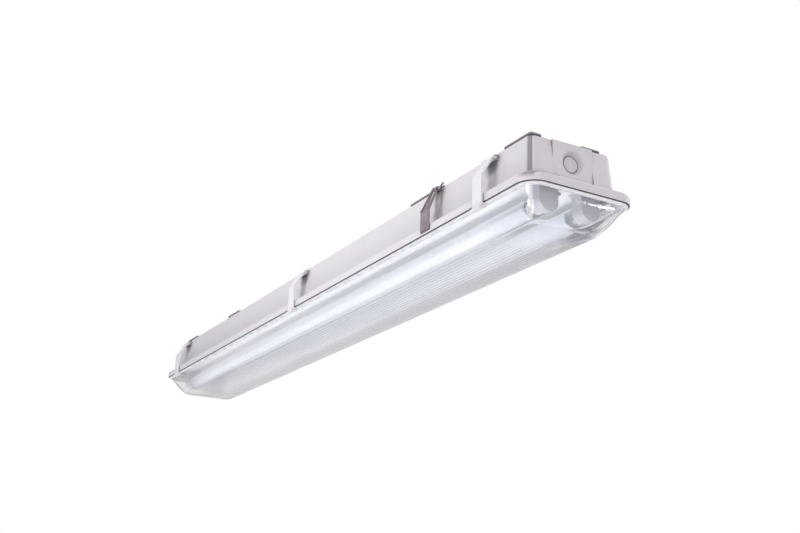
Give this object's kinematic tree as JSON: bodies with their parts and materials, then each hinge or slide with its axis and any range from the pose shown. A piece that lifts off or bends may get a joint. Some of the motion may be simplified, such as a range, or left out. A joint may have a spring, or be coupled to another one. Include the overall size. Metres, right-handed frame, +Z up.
{
  "type": "vapor tight light fixture",
  "caption": "Long sealed ceiling light: pale moulded housing over a clear ribbed lens held by side latches, tubular lamps on a white gear tray, wire hanging hooks on steel clips.",
  "frame": {"origin": "centre of the housing's flat back, the face that lies to the ceiling", "axes": "+X along the fixture to the end nearest the camera in the picture, -Y the long side that shows, +Z up to the ceiling"},
  "size_m": [1.3, 0.176, 0.1156],
  "materials": {
    "housing": "pale grey, fine satin moulding",
    "pad": "dark grey foam rubber",
    "gasket": "dark grey, dull",
    "lens": "clear with fine lengthwise ribs",
    "latch": "white, satin",
    "stainless": "brushed stainless steel",
    "zinc": "zinc plated",
    "enamel": "white enamel, satin",
    "gear_case": "grey, satin",
    "brass": "plain",
    "block": "off-white",
    "holder": "white, warm",
    "lamp_glass": "white coated tube, gloss",
    "cap": "satin",
    "lead": "dark blue jacket"
  },
  "bodies": {
    "fixture_body": {"housing": "housing", "conduit_plug_near": "housing", "conduit_plug_far": "housing", "back_pad_front_near": "pad", "back_pad_front_inner_near": "pad", "back_pad_front_inner_far": "pad", "back_pad_front_far": "pad", "back_pad_rear_inner_near": "pad", "back_pad_rear_inner_far": "pad", "back_pad_rear_far": "pad", "back_pad_rear_near": "pad", "gasket": "gasket", "hanger_clip_near": "stainless", "hanger_clip_far": "stainless", "clip_screw_near": "zinc", "clip_screw_far": "zinc", "gear_tray": "enamel", "tray_screw_near_front": "zinc", "tray_screw_near_middle": "zinc", "tray_screw_near_rear": "zinc", "tray_screw_far_front": "zinc", "tray_screw_far_middle": "zinc", "tray_screw_far_rear": "zinc", "ballast": "gear_case", "ballast_nut_far": "zinc", "ballast_nut_near": "zinc", "earth_nut": "brass", "terminal_block": "block", "lampholder_near_front": "holder", "lampholder_near_rear": "holder", "lampholder_far_front": "holder", "lampholder_far_rear": "holder", "lead_near_front": "lead", "lead_near_rear": "lead", "lead_far_front": "lead", "lead_far_rear": "lead", "lead_supply": "lead"},
    "lens_tray": {"lens": "lens"},
    "front_near_latch": {"latch_front_near": "latch"},
    "front_middle_latch": {"latch_front_middle": "latch"},
    "front_far_latch": {"latch_front_far": "latch"},
    "rear_near_latch": {"latch_rear_near": "latch"},
    "rear_middle_latch": {"latch_rear_middle": "latch"},
    "rear_far_latch": {"latch_rear_far": "latch"},
    "near_hook": {"hanger_hook_near": "stainless"},
    "far_hook": {"hanger_hook_far": "stainless"},
    "front_lamp": {"lamp_tube_front": "lamp_glass", "lamp_cap_near_front": "cap", "lamp_cap_far_front": "cap", "rotor_near_front": "block", "rotor_far_front": "block"},
    "rear_lamp": {"lamp_tube_rear": "lamp_glass", "lamp_cap_near_rear": "cap", "lamp_cap_far_rear": "cap", "rotor_near_rear": "block", "rotor_far_rear": "block"}
  },
  "joints": [
    {"name": "lens_drop", "type": "slide", "parent": "fixture_body", "child": "lens_tray", "axis": [0, 0, -1], "range_m": [0, 0.05]},
    {"name": "latch_front_near_open", "type": "hinge", "parent": "fixture_body", "child": "front_near_latch", "pos_m": [0.547, -0.06613, -0.008], "axis": [-1, 0, 0], "range_deg": [0, 70]},
    {"name": "latch_front_middle_open", "type": "hinge", "parent": "fixture_body", "child": "front_middle_latch", "pos_m": [0, -0.06613, -0.008], "axis": [-1, 0, 0], "range_deg": [0, 70]},
    {"name": "latch_front_far_open", "type": "hinge", "parent": "fixture_body", "child": "front_far_latch", "pos_m": [-0.57, -0.06613, -0.008], "axis": [-1, 0, 0], "range_deg": [0, 70]},
    {"name": "latch_rear_near_open", "type": "hinge", "parent": "fixture_body", "child": "rear_near_latch", "pos_m": [0.547, 0.06613, -0.008], "axis": [1, 0, 0], "range_deg": [0, 70]},
    {"name": "latch_rear_middle_open", "type": "hinge", "parent": "fixture_body", "child": "rear_middle_latch", "pos_m": [0, 0.06613, -0.008], "axis": [1, 0, 0], "range_deg": [0, 70]},
    {"name": "latch_rear_far_open", "type": "hinge", "parent": "fixture_body", "child": "rear_far_latch", "pos_m": [-0.57, 0.06613, -0.008], "axis": [1, 0, 0], "range_deg": [0, 70]},
    {"name": "hanger_hook_near_swing", "type": "hinge", "parent": "fixture_body", "child": "near_hook", "pos_m": [0.4215, -0.0645, -0.0014], "axis": [-1, 0, 0], "range_deg": [-20, 30]},
    {"name": "hanger_hook_far_swing", "type": "hinge", "parent": "fixture_body", "child": "far_hook", "pos_m": [-0.3805, 0.0645, -0.0014], "axis": [1, 0, 0], "range_deg": [-20, 30]},
    {"name": "lamp_front_turn", "type": "hinge", "parent": "fixture_body", "child": "front_lamp", "pos_m": [0, -0.031, -0.077], "axis": [1, 0, 0], "range_deg": [0, 90]},
    {"name": "lamp_rear_turn", "type": "hinge", "parent": "fixture_body", "child": "rear_lamp", "pos_m": [0, 0.031, -0.077], "axis": [1, 0, 0], "range_deg": [0, 90]}
  ],
  "couplings": [
    {"joint": "latch_front_near_open", "follows": "lens_drop", "rad_per_m": 24},
    {"joint": "latch_front_middle_open", "follows": "lens_drop", "rad_per_m": 24},
    {"joint": "latch_front_far_open", "follows": "lens_drop", "rad_per_m": 24},
    {"joint": "latch_rear_near_open", "follows": "lens_drop", "rad_per_m": 24},
    {"joint": "latch_rear_middle_open", "follows": "lens_drop", "rad_per_m": 24},
    {"joint": "latch_rear_far_open", "follows": "lens_drop", "rad_per_m": 24}
  ]
}
